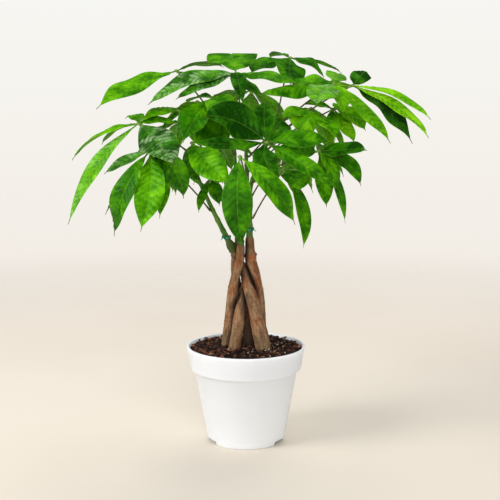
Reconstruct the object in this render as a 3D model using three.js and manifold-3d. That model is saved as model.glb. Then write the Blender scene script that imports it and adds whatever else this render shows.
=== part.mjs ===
// A potted money tree (Pachira): five braided trunks in a white nursery pot, shoots and palmate leaves.
// Millimetres. The origin is the centre of the pot's foot, +Z is up and -Y is the front.
import * as THREE from "three";
import { mergeVertices } from "three/addons/utils/BufferGeometryUtils.js";
import Module from "manifold-3d";

const wasm = await Module();
wasm.setup();

// ---------------------------------------------------------------- driving dimensions

const GAP = 0.3; // clearance between pieces that touch on the real plant

const POT = {
  height: 126,
  rimRadius: 77.5,
  bandHeight: 30,
  bandFootRadius: 72.6, // outside of the collar at its lower edge
  shoulderRadius: 67.8, // outside of the body under the collar
  footRadius: 50.3,
  wall: 1.8,
  lip: 2.2, // width of the rim, up to where its inner edge is rounded
  rounding: 1, // of the rim's, the collar's and the foot's edges
  floorRadius: 47, // of the inside's flat floor
  floorFillet: 1.8,
  floorTop: 7.5,
  floorUnder: 5.6,
  footRing: 4.2, // width of the ring that the pot stands on
  sides: 40,
};
const NOTCH = { height: 5, width: 27, bearings: [205, -28, 90] }; // gaps in the foot ring
const DRAIN = { radius: 4.5, orbit: 30, count: 4, sides: 10 };

const SOIL = { edge: 122, mound: 3, clear: GAP + 0.1, holeDepth: 27, holeGap: 1.3, holeSides: 10 };
const CHIP = {
  count: 34,
  seed: 77,
  length: [8, 14],
  width: [4.5, 8],
  height: [3.4, 5.2],
  rim: 13, // from the outermost chip's centre to the rim
  seat: 0.4, // how far a chip's centre stands above the soil
  tilt: 14, // degrees each way
};

const BARK = { sides: 9, steps: 13, lobes: 0.03, swelling: 0.025, callus: 0.82 };
const SHOOT = { sides: 6, steps: 9, tip: 0.6 };

const LEAF = {
  thickness: 0.8,
  ribThickness: 1.5, // at the leaflet's base, fading along it
  stalkWidth: 2.2, // of the short stalk between hub and blade
  stalk: 0.06, // of the leaflet's length
  outward: 0.4, // how far the upper side leans away from the plant's axis
  crest: 0.45, // where along the leaflet its arch is highest
  drip: 0.95, // where along the blade its thin tip starts
  hubRadius: 3.4,
};
const PETIOLE = { radius: 1.25, flare: 1.3, rise: 0.1, sides: 4, steps: 4 };
const LEAF_STATIONS = [0, 0.07, 0.3, 0.56, 0.83, 1];

const COLOURS = {
  pot: { color: 0xf3f3f4, roughness: 0.5 },
  soil: { color: 0x2e1a10, roughness: 0.95 },
  bark: { color: 0x84623f, roughness: 0.85 },
  shoot: { color: 0x4a6b26, roughness: 0.6 },
  leaf: { color: 0x3c8a12, roughness: 0.4 },
  tie: { color: 0x1f8f5a, roughness: 0.5 },
};

// Each trunk runs up from its hole in the soil: [x, y, z, radius].
const TRUNKS = [
  [
    [-25, 2, 100, 7.6],
    [-25, 2, 126, 7.6],
    [-21.6, 0.6, 157, 7.2],
    [-19, -2, 181, 6.7],
    [-16.6, -7, 204, 6.2],
    [-12.6, -12, 223, 5.8],
    [-8, -12.6, 241, 5.5],
    [-6.5, -12.5, 260, 5.4],
  ],
  [
    [-15, -17, 100, 8.2],
    [-15, -17, 126, 8.1],
    [-11, -15, 148, 7.7],
    [-9, -13.4, 163, 7.3],
    [-6.2, -7.6, 181, 6.8],
    [-3.4, 2.4, 194, 6.4],
    [1.2, 7.6, 207, 6.2],
    [4.4, 11, 224, 6],
    [5.2, 10.5, 260, 5.8],
  ],
  [
    [22, -17, 100, 10.2],
    [22, -17, 126, 10.2],
    [18.6, -16, 146, 9.9],
    [14.2, -14.4, 163, 9.3],
    [10, -12.6, 181, 8.3],
    [6.2, -10.8, 194, 7.8],
    [2, -8, 207, 6.9],
    [-2.6, -1.6, 224, 6.4],
    [-16, 1.6, 249, 5.8],
  ],
  [
    [20, 17, 100, 8],
    [20, 17, 126, 8],
    [19, 10.5, 159, 7.6],
    [17.4, 5.6, 181, 7.2],
    [15.6, 1.6, 200, 6.7],
    [11.9, -6.2, 223, 6.3],
    [6.2, -7.4, 243, 6.6],
    [4.8, -6.9, 270, 5.6],
  ],
  [
    [3, 10, 100, 6.6],
    [3, 10, 126, 6.6],
    [0, 14, 159, 6.2],
    [-9, 15, 193, 5.8],
    [-14, 13, 220, 5.5],
    [-13.4, 15.5, 244, 5.3],
    [-10.5, 14, 260, 5.2],
  ],
];
const COLLAR = { trunk: 3, height: 244, rise: 1.3, reach: 4.5 }; // ring round the right trunk's top

// A green shoot grows from the top of each trunk: [x, y, z, radius].
const SHOOTS = [
  [
    [-6.5, -12.5, 260.8, 4.2],
    [-6.6, -12.3, 267, 3.8],
    [-7.5, -10, 282, 3.2],
    [-11, -3, 327, 2.6],
    [-14, 4, 369, 2.2],
    [-15, 6, 395, 1.9],
  ],
  [
    [5.4, 10.5, 260.9, 4.4],
    [5.2, 10.8, 268, 3.9],
    [5, 14, 287, 3.2],
    [6.5, 32, 332, 2.7],
    [22, 46, 375, 2.3],
    [36, 52, 401, 1.9],
  ],
  [
    [-16.6, 1.5, 250.9, 5.4],
    [-19.4, 0.6, 257, 6],
    [-23.6, -3, 266, 3.6],
    [-37.3, -9, 294, 2.8],
    [-51, -15, 324, 2.5],
    [-64, -16, 356, 2.2],
    [-70, -10, 383, 1.8],
  ],
  [
    [4.8, -6.9, 270.9, 4.3],
    [4.8, -7.4, 277, 3.8],
    [5, -9, 287, 3.3],
    [3, -11, 319, 2.9],
    [1, -11, 359, 2.5],
    [0, -6, 393, 2],
  ],
  [
    [-10.6, 14, 261.2, 4],
    [-10.8, 14.6, 267, 3.7],
    [-13, 22, 283, 3],
    [-25, 44, 327, 2.6],
    [-36, 62, 371, 2.2],
    [-40, 70, 397, 1.8],
  ],
];

// Garden ties round the shoots: where the loop's centre is, and the bearing of its knot in degrees.
const TIES = {
  left: { centre: [-25.2, -3.6, 269], knot: 250 },
  right: { centre: [4.6, -8.7, 280], knot: -60 },
};
const TIE = {
  radius: 5.2,
  width: 3.4,
  thickness: 0.9,
  sides: 12,
  knot: 2,
  tail: [7, 0.9, 2.2],
  tailDrop: 29, // degrees
};

// Each leaf has the hub where its leaflets meet, the shoot that it grows from with how far up that shoot,
// and one row for each leaflet: its tip [x, y, z], the blade's width, how far the midrib arches and bows to
// the side, how strongly its upper side leans to the front, and the degrees that each half rises from the
// midrib. The leaves at the back spread as fans instead.
const LEAVES = [
  // crown, from left to right
  {
    hub: [-89, 15, 481],
    from: [0, 0.95],
    leaflets: [
      [-183, -45, 434, 47, 5, 1, 0.55, 8],
      [-30, 96, 492, 24, 6, 1, 0, 5],
      [-28, 10, 478, 28, -2, 3, 0.2, -35],
    ],
  },
  {
    hub: [-12, -20, 476],
    from: [3, 0.97],
    leaflets: [
      [-21, 95, 506, 66, 11, -1, 0, 0],
      [-119, -50, 439, 34, 10, 0, 0.7, 11],
      [-83, -75, 445, 24, 0, 4, 0.5, 11],
      [-3, -125, 437, 20, 9, 1, 0, 20],
      [22, -100, 447, 20, 0, 8, 0.5, 11],
      [64, -50, 463, 34, 2, -2, 0.3, 5],
    ],
  },
  {
    hub: [59, 70, 501],
    from: [1, 0.97],
    leaflets: [
      [32, 120, 506, 20, 5, -3, 0.4, 5],
      [6, 40, 481, 44, 4, 7, 0.6, 11],
      [58, 12, 465, 44, 0, 2, 0.6, 11],
      [104, 60, 477, 38, 4, 2, 0.6, 11],
      [132, 110, 485, 14, 3, 3, 0, 11],
    ],
  },
  {
    hub: [108, -40, 462],
    from: [3, 0.88],
    leaflets: [
      [54, -22, 466, 34, 1, 2, 0.5, 11],
      [17, -60, 451, 34, 2, 7, 0.2, -30],
      [81, -125, 437, 38, 0, 4, 0, 11],
      [121, 50, 479, 28, 5, -1, 0, 0],
      [173, -80, 393, 23, 1, -7, 0.9, 11],
      [117, -70, 428, 26, 4, 0, 0.6, 11],
    ],
  },
  {
    hub: [136, 5, 462],
    from: [1, 0.88],
    leaflets: [
      [159, 60, 484, 27, 4, 1, 0, -5],
      [225, -56, 421, 18, 9, -6, 0.6, 11],
      [220, -72, 399, 22, 6, -14, 0.8, 11],
      [212, -5, 391, 44, 8, -6, 0.7, 11],
      [99, 78, 453, 24, 6, 0, 0, 11],
    ],
  },
  {
    hub: [-41, -40, 446],
    from: [0, 0.84],
    leaflets: [
      [-75, -80, 393, 40, 2, 3, 0.9, 11],
      [-10, 30, 443, 26, 6, 4, 0, 11],
      [-16, -110, 409, 38, 10, 0, 0.3, 11],
      [-77, 20, 441, 24, 4, 0, 0, 11],
    ],
  },
  // right side
  {
    hub: [86, -44, 421],
    from: [3, 0.81],
    leaflets: [
      [72, -78, 394, 52, 22, 6, 0.1, -15],
      [42, -94, 421, 22, 7, 3, 0.6, 11],
      [106, -95, 397, 28, 6, 0, 0.6, 11],
      [84, 8, 408, 26, 5, 0, 0, 11],
    ],
  },
  {
    hub: [114, 20, 433],
    from: [1, 0.76],
    leaflets: [
      [154, 10, 407, 34, 6, 0, 0.8, 11],
      [137, -20, 391, 23, 0, 0, 1, 11],
      [71, -16, 439, 26, 2, -1, 0.3, 11],
      [105, -30, 398, 14, 1, 2, 0.6, 11],
      [144, 105, 422, 30, 8, 0, 0, 11],
    ],
  },
  {
    hub: [86, -95, 382],
    from: [3, 0.69],
    leaflets: [
      [140, -120, 386, 32, 0, -4, 0.5, 8],
      [135, -110, 344, 22, 4, -20, 1, 11],
      [116, -120, 301, 12, 0, -11, 1.2, 11],
      [33, -60, 385, 40, -3, -1, 0.8, 11],
      [95, -110, 319, 23, -11, -11, 0.8, 11],
      [110, -85, 339, 24, 4, 1, 0.8, 11],
    ],
  },
  {
    hub: [48, -30, 357],
    from: [3, 0.46],
    leaflets: [
      [70, -75, 266, 18, -9, -21, 1.2, 11],
      [66, -80, 336, 36, 3, -3, 0.8, 11],
      [88, 36, 335, 16, 8, 0, 0, 11],
      [29, 36, 337, 24, 8, 0, 0, 11],
    ],
  },
  // front
  {
    hub: [24, -132, 393],
    from: [3, 0.75],
    leaflets: [
      [-45, -172, 423, 46, 7, 11, 1.4, 11],
      [-62, -142, 394, 26, -5, 8, 0.3, 3],
      [45, -64, 420, 36, 4, 0, 0.8, 11],
      [98, -122, 395, 30, 4, 3, 0.5, 11],
      [105, -142, 343, 22, 4, 9, 1, 11],
      [40, -146, 351, 30, 5, 14, 0.9, 11],
      [23, -70, 443, 26, 2, -2, 1, 11],
    ],
  },
  {
    hub: [-6, -162, 378],
    from: [3, 0.62],
    leaflets: [
      [-4, -172, 279, 35, 8, 4, 0.6, 11],
      [57, -142, 302, 27, 11, 13, 1.2, 11],
    ],
  },
  // left side
  {
    hub: [-134, -25, 414],
    from: [2, 0.97],
    leaflets: [
      [-222, -5, 370, 26, 9, -9, 0.3, 11],
      [-221, -45, 292, 24, 12, 0, 0.9, 11],
      [-84, 30, 428, 28, 9, 14, 0.9, -6],
      [-87, -20, 416, 22, 3, 0, 0.4, 11],
      [-159, 40, 423, 18, 3, 8, 0, 0],
      [-83, -120, 369, 46, -1, -3, 1.3, 4],
      [-190, 35, 389, 18, 6, 0, 0, 11],
    ],
  },
  {
    hub: [-116, -70, 381],
    from: [2, 0.56],
    leaflets: [
      [-121, -130, 293, 38, -2, -6, 0.8, 11],
      [-102, -100, 305, 24, -10, -5, 0.8, 11],
      [-162, -60, 279, 32, 9, -28, 1.1, 11],
      [-180, -10, 301, 18, -1, -8, 1.1, 11],
      [-176, -40, 354, 18, 2, 0, 0.9, 11],
      [-76, -60, 325, 31, 15, 9, 1, 11],
    ],
  },
  {
    hub: [-65, -60, 391],
    from: [0, 0.56],
    leaflets: [
      [-18, -130, 346, 38, 2, 4, 1.2, 11],
      [-16, -45, 410, 52, 0, -2, 0.8, 11],
      [-57, -30, 344, 30, -1, -5, 0.8, 11],
    ],
  },
  {
    hub: [-43, -40, 347],
    from: [2, 0.72],
    leaflets: [
      [-58, -60, 308, 12, -2, 5, 0.8, 11],
      [-32, -52, 315, 18, 4, 0, 0.8, 11],
      [-28, -44, 343, 18, 3, 0, 0.8, 11],
    ],
  },
  // back
  { hub: [-67, 96, 444], from: [4, 0.96], fan: { heading: 112, count: 5, reach: 77, seed: 11 } },
  { hub: [6, 117, 459], from: [1, 0.99], fan: { heading: 92, count: 5, reach: 94, seed: 12 } },
  { hub: [90, 108, 435], from: [1, 0.8], fan: { heading: 48, count: 5, reach: 88, seed: 13 } },
  { hub: [-92, 78, 417], from: [4, 0.82], fan: { heading: 145, count: 5, reach: 85, seed: 14 } },
  { hub: [95, 88, 389], from: [1, 0.64], fan: { heading: 60, count: 5, reach: 70, seed: 15 } },
  { hub: [-38, 106, 389], from: [4, 0.68], fan: { heading: 128, count: 5, reach: 88, seed: 16 } },
  { hub: [50, 114, 369], from: [1, 0.54], fan: { heading: 68, count: 5, reach: 80, seed: 17 } },
  { hub: [-86, 62, 351], from: [4, 0.5], fan: { heading: 160, count: 5, reach: 66, seed: 18 } },
];
const FAN = {
  spread: 200, // degrees between the two outermost leaflets
  stray: 8, // degrees that a leaflet may stray from its place
  shortest: 0.66, // of the reach
  droop: [18, 46], // degrees
  sag: 12, // degrees more at the middle leaflet
  width: 0.31, // of the leaflet's length
  arch: 0.09, // of the leaflet's length
  fold: 11,
};

// ---------------------------------------------------------------- small tools

const vec = (p) => new THREE.Vector3(p[0], p[1], p[2]);
const radians = THREE.MathUtils.degToRad;
const lerp = THREE.MathUtils.lerp;
const UP = new THREE.Vector3(0, 0, 1);
const FRONT = new THREE.Vector3(0, -1, 0);
const GOLDEN_ANGLE = Math.PI * (3 - Math.sqrt(5));

// A repeatable stream of numbers from 0 to 1.
function stream(seed) {
  let state = seed;
  return () => {
    state = (state * 16807) % 2147483647;
    return state / 2147483647;
  };
}

// A geometry as a solid, its doubled vertices merged and the triangles that this flattens dropped.
function solid(geometry) {
  const bare = new THREE.BufferGeometry();
  bare.setAttribute("position", geometry.getAttribute("position"));
  if (geometry.index) bare.setIndex(geometry.index);
  const merged = mergeVertices(bare, 1e-4);
  const corners = merged.index.array;
  const kept = [];
  for (let i = 0; i < corners.length; i += 3) {
    const [a, b, c] = corners.subarray(i, i + 3);
    if (a !== b && b !== c && c !== a) kept.push(a, b, c);
  }
  return new wasm.Manifold(
    new wasm.Mesh({
      numProp: 3,
      vertProperties: new Float32Array(merged.getAttribute("position").array),
      triVerts: new Uint32Array(kept),
    }),
  );
}

const join = (solids) => solids.reduce((sum, next) => sum.add(next));

function shape(manifold) {
  const made = manifold.getMesh();
  const geometry = new THREE.BufferGeometry();
  geometry.setAttribute("position", new THREE.BufferAttribute(made.vertProperties, 3));
  geometry.setIndex(new THREE.BufferAttribute(made.triVerts, 1));
  geometry.computeVertexNormals();
  return geometry;
}

function meshOf(points, index) {
  const geometry = new THREE.BufferGeometry();
  const numbers = points.flatMap((p) => [p.x, p.y, p.z]);
  geometry.setAttribute("position", new THREE.Float32BufferAttribute(numbers, 3));
  geometry.setIndex(index);
  return geometry;
}

// A profile of [radius, height] points turned round the Z axis.
function turned(profile, sides) {
  const points = profile.map(([r, z]) => new THREE.Vector2(r, z));
  return solid(new THREE.LatheGeometry(points, sides).rotateX(Math.PI / 2));
}

// A closed surface through rings of equal length, with a fan over each end.
function skin(rings) {
  const n = rings[0].length;
  const index = [];
  for (let i = 0; i + 1 < rings.length; i++) {
    for (let j = 0; j < n; j++) {
      const a = i * n + j;
      const b = i * n + ((j + 1) % n);
      index.push(a, b, b + n, a, b + n, a + n);
    }
  }
  const last = (rings.length - 1) * n;
  for (let j = 1; j + 1 < n; j++) {
    index.push(0, j + 1, j);
    index.push(last, last + j, last + j + 1);
  }
  return meshOf(rings.flat(), index);
}

// A tube of varying radius along a curve; side is a direction that the curve never follows.
function tube(curve, radiusAt, side, sides, steps) {
  const rings = [];
  for (let i = 0; i <= steps; i++) {
    const t = i / steps;
    const centre = curve.getPoint(t);
    const along = curve.getTangent(t);
    const u = side.clone().addScaledVector(along, -side.dot(along)).normalize();
    const v = along.clone().cross(u);
    const ring = [];
    for (let j = 0; j < sides; j++) {
      const angle = (2 * Math.PI * j) / sides;
      const r = radiusAt(t, angle, centre);
      const point = centre.clone().addScaledVector(u, r * Math.cos(angle));
      ring.push(point.addScaledVector(v, r * Math.sin(angle)));
    }
    rings.push(ring);
  }
  return skin(rings);
}

const curveOf = (rows) => new THREE.CatmullRomCurve3(rows.map(vec), false, "catmullrom", 0.5);

// The radius column of a row list, read at a fraction of the way along its curve.
function radiusAlong(rows, t) {
  const place = t * (rows.length - 1);
  const i = Math.min(Math.floor(place), rows.length - 2);
  return lerp(rows[i][3], rows[i + 1][3], place - i);
}

// ---------------------------------------------------------------- pot

const BAND_FOOT = POT.height - POT.bandHeight;

// The inside of the pot from the middle of its floor up to the rim.
const POT_INSIDE = [
  [0, POT.floorTop],
  [POT.floorRadius, POT.floorTop],
  [POT.floorRadius + POT.floorFillet, POT.floorTop + POT.floorFillet],
  [POT.shoulderRadius - POT.wall, BAND_FOOT + POT.rounding],
  [POT.bandFootRadius - POT.wall, BAND_FOOT + 2 * POT.rounding],
  [POT.rimRadius - POT.lip - POT.rounding, POT.height - POT.rounding],
];

function potShape() {
  const round = POT.rounding;
  const outside = [
    [0, POT.floorUnder],
    [POT.footRadius - POT.footRing, POT.floorUnder],
    [POT.footRadius - POT.footRing, 0],
    [POT.footRadius - round, 0],
    [POT.footRadius, round],
    [POT.shoulderRadius, BAND_FOOT - round],
    [POT.bandFootRadius - round, BAND_FOOT],
    [POT.bandFootRadius, BAND_FOOT + round],
    [POT.rimRadius - round, POT.height - 4 * round],
    [POT.rimRadius, POT.height - 3 * round],
    [POT.rimRadius, POT.height - round],
    [POT.rimRadius - round, POT.height],
    [POT.rimRadius - POT.lip, POT.height],
  ];
  let pot = turned([...outside, ...POT_INSIDE.toReversed()], POT.sides);
  for (const bearing of NOTCH.bearings) {
    const cutter = new THREE.BoxGeometry(4 * POT.footRing, NOTCH.width, 2 * NOTCH.height);
    cutter.translate(POT.footRadius, 0, 0).rotateZ(radians(bearing));
    pot = pot.subtract(solid(cutter));
  }
  for (let k = 0; k < DRAIN.count; k++) {
    const hole = new THREE.CylinderGeometry(DRAIN.radius, DRAIN.radius, 2 * POT.floorTop, DRAIN.sides);
    hole.rotateX(Math.PI / 2).translate(DRAIN.orbit, 0, POT.floorTop);
    hole.rotateZ(((k + 0.5) / DRAIN.count) * 2 * Math.PI);
    pot = pot.subtract(solid(hole));
  }
  return shape(pot);
}

// ---------------------------------------------------------------- soil

// The height of the soil's surface at a distance from the pot's axis.
const soilTop = (r) => SOIL.edge + SOIL.mound * (1 - (r / POT.rimRadius) ** 2);

// A piece of bark, laid on a spiral that covers the soil evenly.
function chipShape(k, draw) {
  const between = ([low, high]) => lerp(low, high, draw());
  const tilt = () => radians(CHIP.tilt * (2 * draw() - 1));
  const chip = new THREE.BoxGeometry(between(CHIP.length), between(CHIP.width), between(CHIP.height));
  const r = (POT.rimRadius - CHIP.rim) * Math.sqrt((k + 0.5) / CHIP.count);
  const bearing = k * GOLDEN_ANGLE;
  chip.rotateX(tilt()).rotateY(tilt()).rotateZ(2 * Math.PI * draw());
  chip.translate(r * Math.cos(bearing), r * Math.sin(bearing), soilTop(r) + CHIP.seat);
  return solid(chip);
}

function soilShape() {
  const [low, high] = POT_INSIDE.slice(-2);
  const edge = lerp(low[0], high[0], (SOIL.edge - low[1]) / (high[1] - low[1])) - SOIL.clear;
  const buried = POT_INSIDE.slice(1, -1).map(([r, z]) => [r - SOIL.clear, z + SOIL.clear]);
  const surface = [edge, 0.5 * edge, 0].map((r) => [r, soilTop(r)]);
  let soil = turned([[0, POT.floorTop + SOIL.clear], ...buried, ...surface], POT.sides);
  const draw = stream(CHIP.seed);
  for (let k = 0; k < CHIP.count; k++) soil = soil.add(chipShape(k, draw));
  for (const [[x, y, , radius]] of TRUNKS) {
    const wide = radius + SOIL.holeGap;
    const hole = new THREE.CylinderGeometry(wide, wide, 2 * SOIL.holeDepth, SOIL.holeSides);
    hole.rotateX(Math.PI / 2).translate(x, y, SOIL.edge + SOIL.mound);
    soil = soil.subtract(solid(hole));
  }
  return shape(soil);
}

// ---------------------------------------------------------------- trunks and shoots

function trunkShape(rows, k) {
  const radiusAt = (t, angle, centre) => {
    const lobes = BARK.lobes * Math.sin(3 * angle + 9 * t + k);
    const swelling = BARK.swelling * Math.sin(17 * t + 2 * k);
    const above = (centre.z - COLLAR.height) / COLLAR.reach;
    const collar = k === COLLAR.trunk ? COLLAR.rise * Math.exp(-above * above) : 0;
    return (radiusAlong(rows, t) * (1 + lobes + swelling) + collar) * (t < 1 ? 1 : BARK.callus);
  };
  return tube(curveOf(rows), radiusAt, new THREE.Vector3(1, 0, 0), BARK.sides, BARK.steps);
}

function shootShape(rows) {
  const radiusAt = (t) => radiusAlong(rows, t) * (t < 1 ? 1 : SHOOT.tip);
  return tube(curveOf(rows), radiusAt, new THREE.Vector3(0, 1, 0), SHOOT.sides, SHOOT.steps);
}

function tieShape({ centre, knot }) {
  const outside = TIE.radius + TIE.thickness;
  const half = 0.5 * TIE.width;
  const loop = turned(
    [
      [TIE.radius, -half],
      [outside, -half],
      [outside, half],
      [TIE.radius, half],
      [TIE.radius, -half],
    ],
    TIE.sides,
  );
  const bump = new THREE.IcosahedronGeometry(TIE.knot, 0).translate(outside + 0.5 * TIE.knot, 0, 0);
  const tail = new THREE.BoxGeometry(...TIE.tail).rotateY(radians(TIE.tailDrop));
  tail.translate(outside + 2 * TIE.knot, 0, -0.5 * TIE.knot);
  const ends = [bump, tail].map((piece) => solid(piece.rotateZ(radians(knot))));
  return shape(join([loop, ...ends])).translate(...centre);
}

// ---------------------------------------------------------------- leaves

// Half of the blade's width at a fraction of its length, as a share of its greatest half width.
function outline(t) {
  const blade = Math.max(0, (t - LEAF.stalk) / (1 - LEAF.stalk));
  return blade < LEAF.drip ? Math.sin(Math.PI * (blade / LEAF.drip) ** 1.1) ** 0.75 : 0;
}

function leafletShape(hub, [x, y, z, width, arch, bow, lean, fold]) {
  const tip = new THREE.Vector3(x, y, z);
  const chord = tip.clone().sub(hub).normalize();
  const outward = new THREE.Vector3(x, y, 0).normalize();
  const over = UP.clone().addScaledVector(outward, LEAF.outward);
  const top = over.clone().addScaledVector(FRONT, lean);
  over.addScaledVector(chord, -over.dot(chord)).normalize();
  const middle = hub.clone().lerp(tip, LEAF.crest).addScaledVector(over, 2 * arch);
  middle.addScaledVector(chord.clone().cross(over), 2 * bow);
  const curve = new THREE.QuadraticBezierCurve3(hub, middle, tip);
  const out = Math.cos(radians(fold));
  const rise = Math.sin(radians(fold));
  const rings = LEAF_STATIONS.map((t) => {
    const rib = curve.getPoint(t);
    const along = curve.getTangent(t);
    const normal = top.clone().addScaledVector(along, -top.dot(along)).normalize();
    const side = along.clone().cross(normal);
    const half = Math.max(0.5 * width * outline(t), 0.5 * LEAF.stalkWidth * (1 - t));
    const depth = lerp(LEAF.ribThickness, LEAF.thickness, Math.min(1, 2 * t));
    const edge = (s, below) => {
      const point = rib.clone().addScaledVector(side, s * half * out);
      return point.addScaledVector(normal, half * Math.abs(s) * rise - below * depth);
    };
    return [edge(-1, 0), edge(0, 0), edge(1, 0), edge(1, 1), edge(0, 1), edge(-1, 1)];
  });
  return bladeSkin(rings);
}

// The blade's six-cornered rings, with every quad of the lower side split like the one above it.
function bladeSkin(rings) {
  const index = [];
  const quad = (a, b, c, d, flip) => {
    if (flip) index.push(a, b, d, b, c, d);
    else index.push(a, b, c, a, c, d);
  };
  for (let i = 0; i + 1 < rings.length; i++) {
    const at = (row, j) => (i + row) * 6 + (j % 6);
    for (let j = 0; j < 6; j++) quad(at(0, j), at(0, j + 1), at(1, j + 1), at(1, j), j >= 3);
  }
  const last = (rings.length - 1) * 6;
  for (const [a, b, c] of [[0, 4, 1], [0, 5, 4], [1, 3, 2], [1, 4, 3]]) {
    index.push(a, b, c);
    index.push(last + a, last + c, last + b);
  }
  return meshOf(rings.flat(), index);
}

// The leaf's stalk leaves its shoot just clear of the shoot's skin and rises in a low arch to the hub.
function petioleShape(hub, [shoot, part]) {
  const rows = SHOOTS[shoot];
  const foot = curveOf(rows).getPoint(part);
  const outward = hub.clone().sub(foot).setZ(0).normalize();
  foot.addScaledVector(outward, radiusAlong(rows, part) + PETIOLE.flare * PETIOLE.radius + GAP);
  const middle = foot.clone().lerp(hub, 0.5);
  middle.z += PETIOLE.rise * foot.distanceTo(hub);
  const curve = new THREE.QuadraticBezierCurve3(foot, middle, hub);
  const side = hub.clone().sub(foot).cross(UP).normalize();
  const radiusAt = (t) => PETIOLE.radius * (t > 0 ? 1 : PETIOLE.flare);
  return tube(curve, radiusAt, side, PETIOLE.sides, PETIOLE.steps);
}

// Leaflet rows for a leaf that spreads evenly round its heading, the longest leaflet in the middle.
function fanRows(hub, { heading, count, reach, seed }) {
  const draw = stream(seed);
  const rows = [];
  for (let k = 0; k < count; k++) {
    const place = (2 * k) / (count - 1) - 1;
    const bearing = radians(heading + 0.5 * FAN.spread * place + FAN.stray * (draw() - 0.5));
    const length = reach * lerp(1, FAN.shortest, Math.abs(place) ** 1.5);
    const droop = radians(lerp(...FAN.droop, draw()) + FAN.sag * (1 - Math.abs(place)));
    const level = length * Math.cos(droop);
    const x = hub[0] + level * Math.cos(bearing);
    const y = hub[1] + level * Math.sin(bearing);
    const z = hub[2] - length * Math.sin(droop);
    rows.push([x, y, z, FAN.width * length, FAN.arch * length, 0, 0, FAN.fold]);
  }
  return rows;
}

function leafShape({ hub, from, leaflets, fan }) {
  const centre = vec(hub);
  const knob = new THREE.OctahedronGeometry(LEAF.hubRadius).translate(...hub);
  const pieces = [petioleShape(centre, from), knob];
  for (const row of leaflets ?? fanRows(hub, fan)) pieces.push(leafletShape(centre, row));
  return shape(join(pieces.map(solid)));
}

// ---------------------------------------------------------------- the plant

const plant = new THREE.Group();
const materials = Object.fromEntries(
  Object.entries(COLOURS).map(([name, look]) => [
    name,
    new THREE.MeshStandardMaterial({ ...look, metalness: 0 }),
  ]),
);

function place(name, geometry, slot) {
  const mesh = new THREE.Mesh(geometry, materials[slot]);
  mesh.name = name;
  plant.add(mesh);
}

place("pot", potShape(), "pot");
place("soil", soilShape(), "soil");
TRUNKS.forEach((rows, k) => place("trunk_" + (k + 1), trunkShape(rows, k), "bark"));
SHOOTS.forEach((rows, k) => place("shoot_" + (k + 1), shootShape(rows), "shoot"));
for (const [name, tie] of Object.entries(TIES)) place("tie_" + name, tieShape(tie), "tie");
LEAVES.forEach((leaf, k) => place("leaf_" + String(k + 1).padStart(2, "0"), leafShape(leaf), "leaf"));

export default plant;
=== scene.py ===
"""A potted money tree: a braided trunk with green shoots and palmate leaves, in a white nursery pot.

The plant's routes and sizes are in millimetres, in the frame's own axes: +Z is up and -Y is the front.
"""

import math

import bpy
import numpy as np
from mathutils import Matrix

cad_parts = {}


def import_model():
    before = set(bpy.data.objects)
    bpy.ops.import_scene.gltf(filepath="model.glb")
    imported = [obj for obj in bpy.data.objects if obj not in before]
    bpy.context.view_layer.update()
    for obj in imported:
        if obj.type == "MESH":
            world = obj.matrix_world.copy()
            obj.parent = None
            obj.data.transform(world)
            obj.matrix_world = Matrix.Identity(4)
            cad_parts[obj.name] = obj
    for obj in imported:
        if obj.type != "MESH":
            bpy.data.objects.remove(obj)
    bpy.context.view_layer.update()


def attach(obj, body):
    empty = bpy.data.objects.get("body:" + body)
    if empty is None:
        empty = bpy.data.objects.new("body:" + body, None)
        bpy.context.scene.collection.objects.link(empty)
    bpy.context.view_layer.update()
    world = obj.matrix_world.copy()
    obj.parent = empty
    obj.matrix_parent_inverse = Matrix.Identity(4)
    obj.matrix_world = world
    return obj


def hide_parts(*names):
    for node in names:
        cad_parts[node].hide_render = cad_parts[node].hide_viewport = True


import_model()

MM = 0.001
UP = np.array([0.0, 0.0, 1.0])
FRONT = np.array([0.0, -1.0, 0.0])
GOLDEN_ANGLE = math.pi * (3 - math.sqrt(5))

# ------------------------ driving dimensions

POT = {
    "height": 126,
    "rim": 77.5,
    "band_height": 30,
    "band_foot": 72.6,
    "shoulder": 67.8,
    "foot": 50.3,
    "wall": 1.8,
    "lip": 2.2,
    "rounding": 1,
    "floor": 47,
    "floor_top": 7.5,
    "floor_under": 5.6,
    "floor_fillet": 1.8,
    "foot_ring": 4.2,
    "sides": 192,
}
NOTCH = {"height": 5, "width": 27, "bearings": (205, -28, 90)}
DRAIN = {"radius": 4.5, "orbit": 30, "count": 4, "sides": 32}
SOIL = {"edge": 122, "mound": 3, "clear": 0.4, "rim_gap": 4, "sides": 180, "rings": 46, "sunk": 0.8}
CRUMBS = ((9, 0.5), (4.5, 0.45), (2.6, 0.3))  # each swell's wavelength and depth
CHIPS = {"count": 620, "seed": 77, "reach": 71, "length": (3.5, 5, 12), "lift": (0.2, 2.4), "sunk": 0.4}
GRAINS = {"count": 46, "seed": 78, "reach": 66, "size": (0.9, 2.2), "lift": 1.9}
BARK = {
    "sides": 72,
    "step": 1.3,
    "lobes": 0.03,
    "swelling": 0.025,
    "callus": 0.82,
    "rounded": 4,
    "scars": 9,
    "scar_width": 1.3,
}
SHOOT = {"sides": 28, "step": 1.5, "sunk": 3, "buds": 4, "node_rise": 0.5, "node_width": 1.6}
COLLAR = {"trunk": 3, "height": 244, "rise": 1.3, "reach": 4.5}
LEAF = {
    "stalk": 0.06,
    "stalk_width": 2.2,
    "outward": 0.4,
    "crest": 0.45,
    "thickness": 0.45,
    "rib_depth": 1.0,
    "columns": 14,
    "row_step": 1.5,
    "drip": 0.95,
    "vein_gap": 8.0,
    "quilt": 1.8,
}
PETIOLE = {"radius": 1.25, "flare": 1.3, "rise": 0.1, "gap": 0.3, "sides": 14}
HUB = {"radius": 2.7, "half_height": 2.0}
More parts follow.
